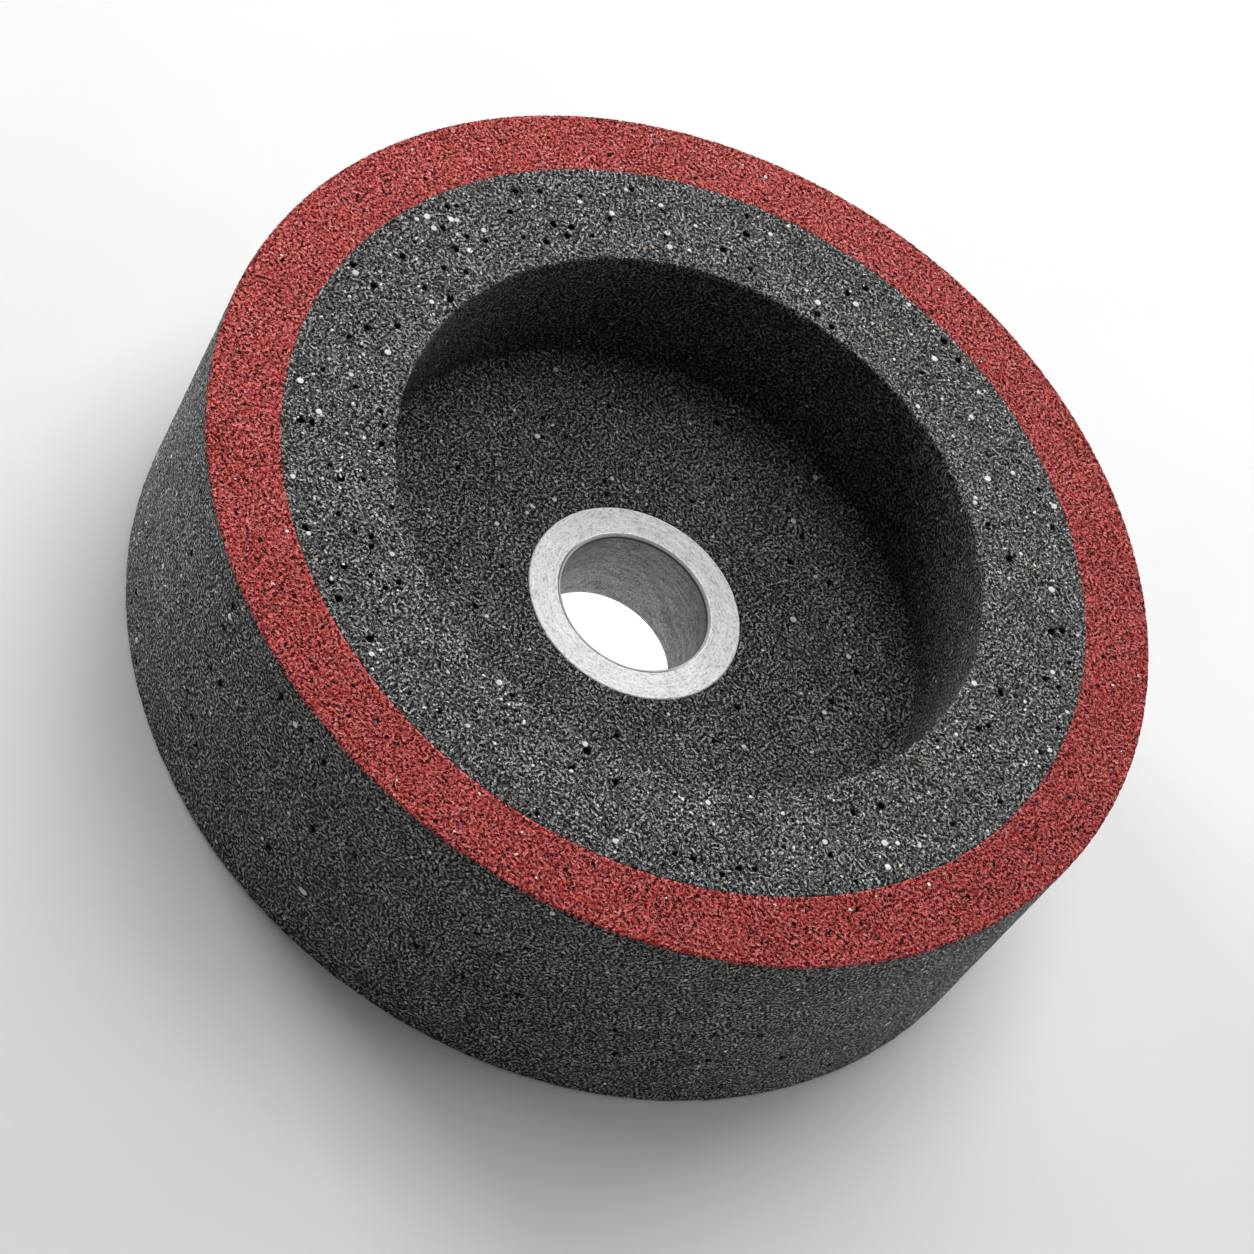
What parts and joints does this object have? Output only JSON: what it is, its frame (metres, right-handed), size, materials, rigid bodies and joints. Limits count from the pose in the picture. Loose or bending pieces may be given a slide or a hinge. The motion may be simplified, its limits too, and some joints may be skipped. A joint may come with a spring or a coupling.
{
  "type": "grinding wheel",
  "caption": "Straight round grinding wheel recessed on one side, dark grey granular abrasive with a red band round the rim of its working face and a plain metal arbor bush.",
  "frame": {"origin": "on the arbor axis, in the plane of the flat back face that the wheel lies on", "axes": "+Z along the arbor axis, out of the recessed working face"},
  "size_m": [0.125, 0.125, 0.036],
  "materials": {
    "grey_abrasive": "rough, granular and porous",
    "red_abrasive": "rough, granular and porous",
    "turned_metal": "fine turned, satin"
  },
  "bodies": {
    "root": {"abrasive_body": "grey_abrasive", "red_face_band": "red_abrasive", "arbor_bush": "turned_metal"}
  },
  "joints": []
}
